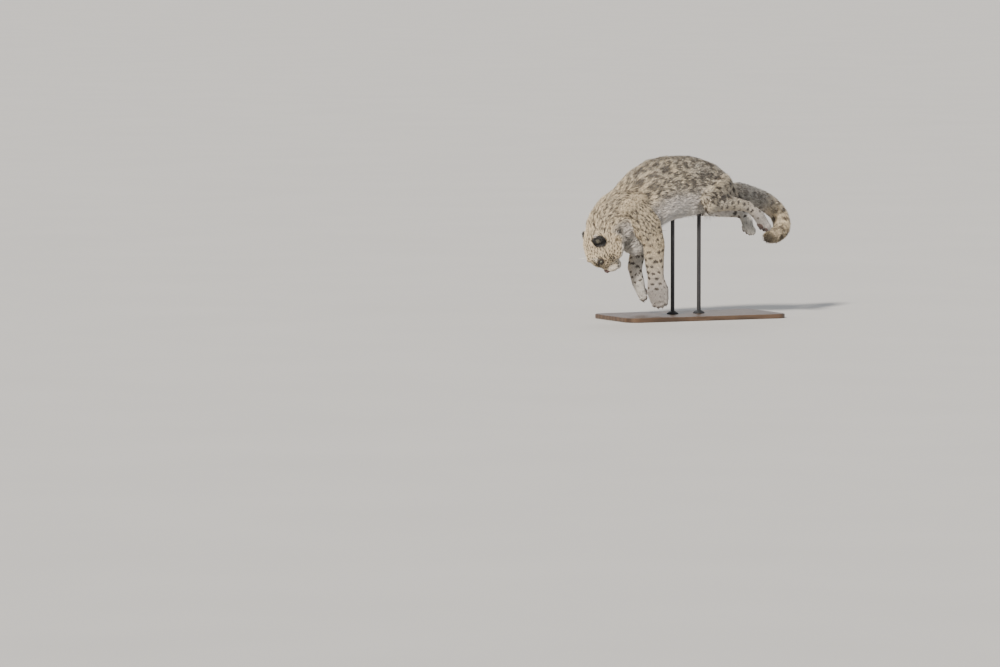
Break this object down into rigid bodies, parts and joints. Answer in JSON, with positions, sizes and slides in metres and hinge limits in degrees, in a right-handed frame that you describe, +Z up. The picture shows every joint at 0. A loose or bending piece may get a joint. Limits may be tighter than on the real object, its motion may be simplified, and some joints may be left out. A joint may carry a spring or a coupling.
{
  "type": "snow leopard model",
  "caption": "Life-size still model of a snow leopard leaping down, back arched and forelegs reaching, held by rods on a flat display base",
  "frame": {"origin": "centre of the underside of the stand's base", "axes": "+Z up; the animal heads along -X, its left side is -Y, and the base's long side runs along X"},
  "size_m": [1.1262, 0.4483, 0.7359],
  "materials": {
    "coat": "matte",
    "ear_coat": "matte",
    "eye": "gloss",
    "nose_leather": "satin",
    "stand_board": "satin",
    "stand_paint": "satin"
  },
  "bodies": {
    "root": {"head": "coat", "neck": "coat", "chest": "coat", "loin": "coat", "rump": "coat", "eye_left": "eye", "eye_right": "eye", "ear_left": "ear_coat", "ear_right": "ear_coat", "nose": "nose_leather", "upper_arm_left": "coat", "forearm_left": "coat", "fore_paw_left": "coat", "thigh_left": "coat", "shank_left": "coat", "hind_paw_left": "coat", "upper_arm_right": "coat", "forearm_right": "coat", "fore_paw_right": "coat", "thigh_right": "coat", "shank_right": "coat", "hind_paw_right": "coat", "tail_1": "coat", "tail_2": "coat", "tail_3": "coat", "tail_4": "coat", "tail_5": "coat", "stand_base": "stand_board", "stand_collar_front": "stand_paint", "stand_rod_front": "stand_paint", "stand_collar_rear": "stand_paint", "stand_rod_rear": "stand_paint"}
  },
  "joints": []
}
